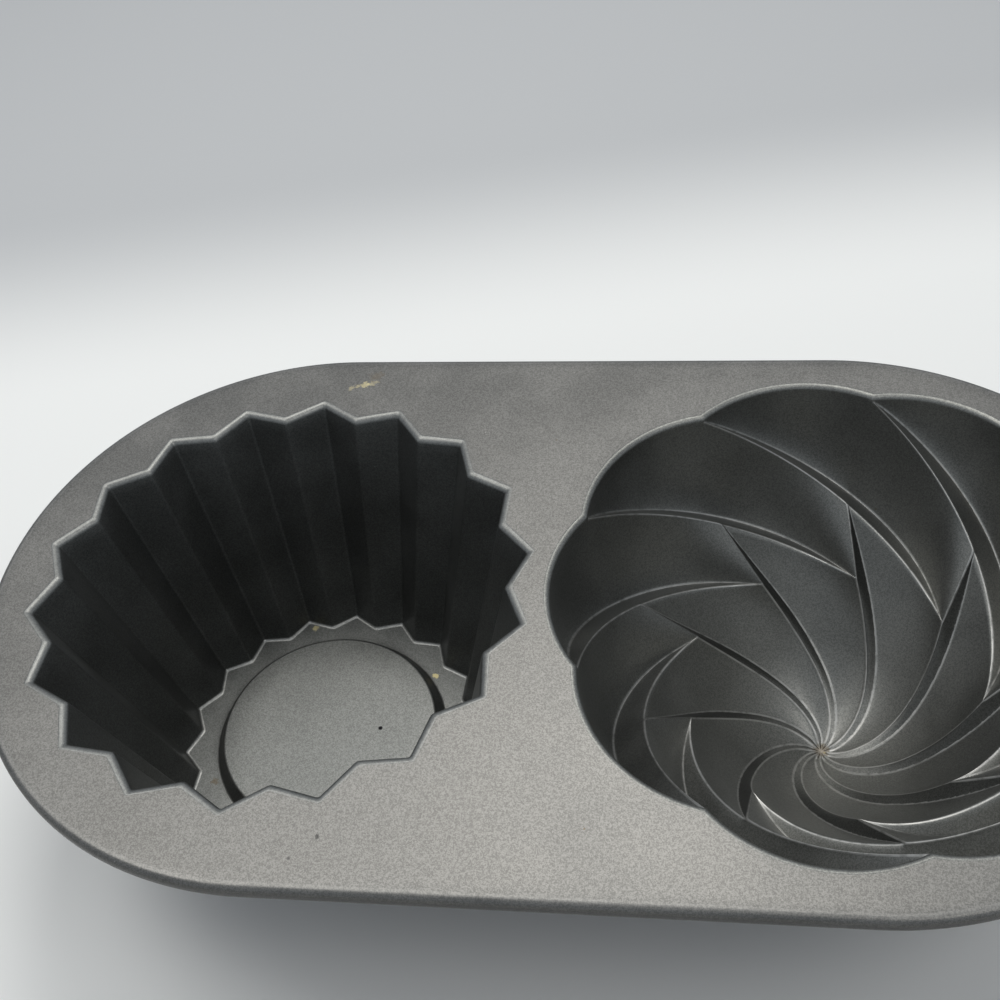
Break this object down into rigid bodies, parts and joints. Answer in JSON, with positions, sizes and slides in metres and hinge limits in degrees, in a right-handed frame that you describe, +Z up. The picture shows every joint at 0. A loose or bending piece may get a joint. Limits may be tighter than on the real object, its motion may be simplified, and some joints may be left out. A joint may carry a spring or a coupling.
{
  "type": "cake pan",
  "caption": "Cast aluminium cake pan with a flat round-ended flange, a fluted cup cavity and a domed cavity with a swirl of petals.",
  "frame": {"origin": "centre of the pan's footprint, on the surface that it stands on", "axes": "+X along the pan from the fluted cup to the swirl, +Z up out of the cavities, +Y across the pan"},
  "size_m": [0.3932, 0.218, 0.1015],
  "materials": {
    "nonstick_coating": "satin warm grey non-stick coating with a fine metallic speckle, over cast aluminium"
  },
  "bodies": {
    "root": {"flange_deck": "nonstick_coating", "flange_lip": "nonstick_coating", "cup_wall": "nonstick_coating", "cup_floor": "nonstick_coating", "cup_floor_disc": "nonstick_coating", "swirl_petals": "nonstick_coating", "swirl_crown": "nonstick_coating", "swirl_apex": "nonstick_coating"}
  },
  "joints": []
}
